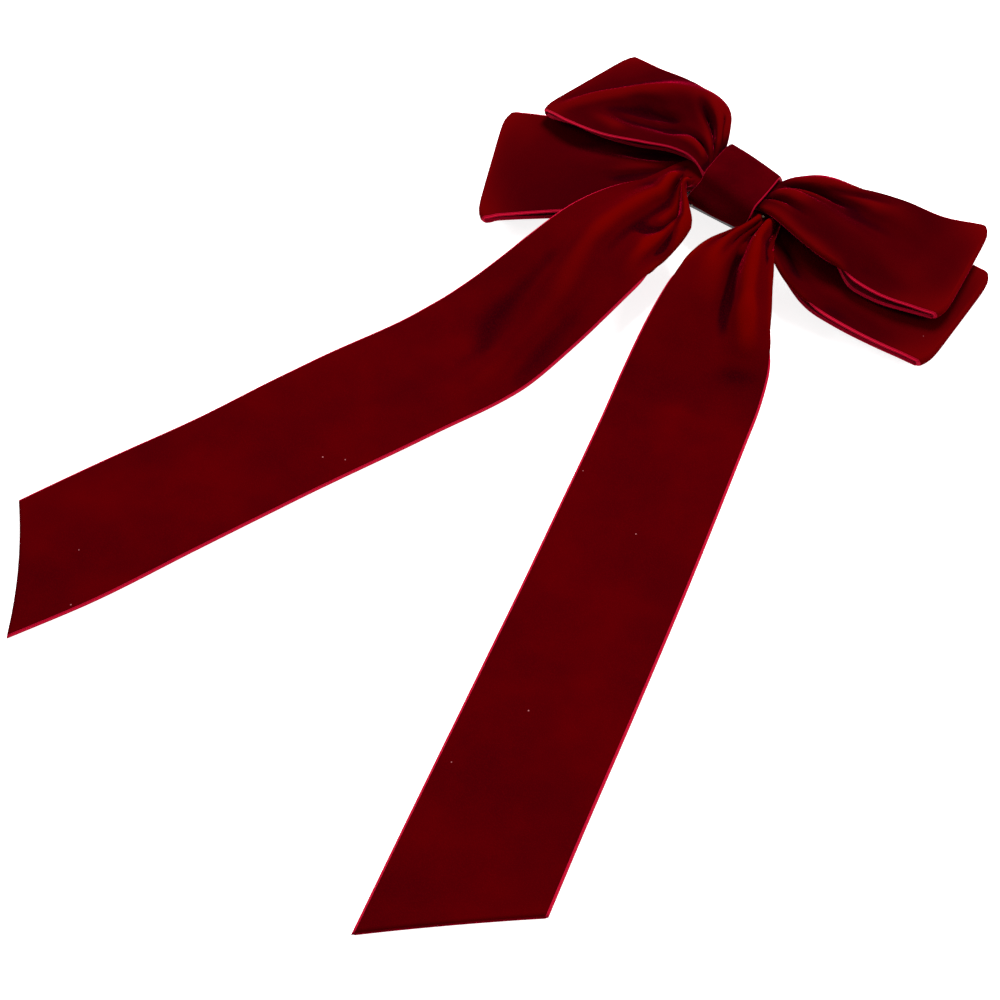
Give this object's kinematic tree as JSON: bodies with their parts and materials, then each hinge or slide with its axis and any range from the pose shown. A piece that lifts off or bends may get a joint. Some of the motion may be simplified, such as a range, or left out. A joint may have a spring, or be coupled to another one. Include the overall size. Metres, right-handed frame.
{
  "type": "hair bow",
  "caption": "Velvet ribbon bow with two pairs of loops and two long tails, on a curved metal barrette that grips hair.",
  "frame": {"origin": "middle of the underside of the barrette's clasp arm, which rests on the surface, under the middle of the knot", "axes": "+X along the barrette, +Y up the bow with the tails running towards -Y, +Z out of the front of the bow"},
  "size_m": [0.1858, 0.2841, 0.0198],
  "materials": {
    "velvet_ribbon": "dark red velvet ribbon with a crimson sheen",
    "knot_velvet": "darker red velvet band",
    "thread": "dark red polyester thread",
    "glue": "hot-melt glue",
    "barrette_steel": "nickel-plated steel",
    "spring_steel": "spring steel",
    "rivet_steel": "bright plated steel"
  },
  "bodies": {
    "bow": {"upper_loops": "velvet_ribbon", "lower_loops": "velvet_ribbon", "left_tail_gather": "velvet_ribbon", "right_tail_gather": "velvet_ribbon", "knot_band": "knot_velvet", "band_stitches": "thread", "waist_thread": "thread", "glue_bed": "glue", "base_plate": "barrette_steel", "hinge_pin": "rivet_steel", "catch_block": "barrette_steel", "catch_rivet": "rivet_steel"},
    "left_tail": {"left_tail": "velvet_ribbon"},
    "right_tail": {"right_tail": "velvet_ribbon"},
    "clasp": {"clasp_arm": "barrette_steel", "tension_spring": "spring_steel"},
    "upper_leg": {"upper_catch_leg": "spring_steel"},
    "lower_leg": {"lower_catch_leg": "spring_steel"}
  },
  "joints": [
    {"name": "left_tail_lift", "type": "hinge", "parent": "bow", "child": "left_tail", "pos_m": [-0.01456, -0.01638, 0.01441], "axis": [-0.9466, 0.3223, 0], "range_deg": [0, 60]},
    {"name": "right_tail_lift", "type": "hinge", "parent": "bow", "child": "right_tail", "pos_m": [0.0125, -0.01726, 0.01441], "axis": [-0.9548, -0.2974, 0], "range_deg": [0, 60]},
    {"name": "clasp_hinge", "type": "hinge", "parent": "bow", "child": "clasp", "pos_m": [-0.036, 0, 0.00241], "axis": [0, 1, 0], "range_deg": [0, 65]},
    {"name": "lower_leg_squeeze", "type": "hinge", "parent": "bow", "child": "lower_leg", "pos_m": [0.026, -0.00125, 0.004], "axis": [0, 0, 1], "range_deg": [0, 4], "stiffness_Nm_per_rad": 0.02},
    {"name": "upper_leg_squeeze", "type": "hinge", "parent": "bow", "child": "upper_leg", "pos_m": [0.026, 0.00125, 0.004], "axis": [0, 0, -1], "range_deg": [0, 4], "stiffness_Nm_per_rad": 0.02}
  ],
  "couplings": [
    {"joint": "upper_leg_squeeze", "follows": "lower_leg_squeeze", "ratio": 1}
  ]
}
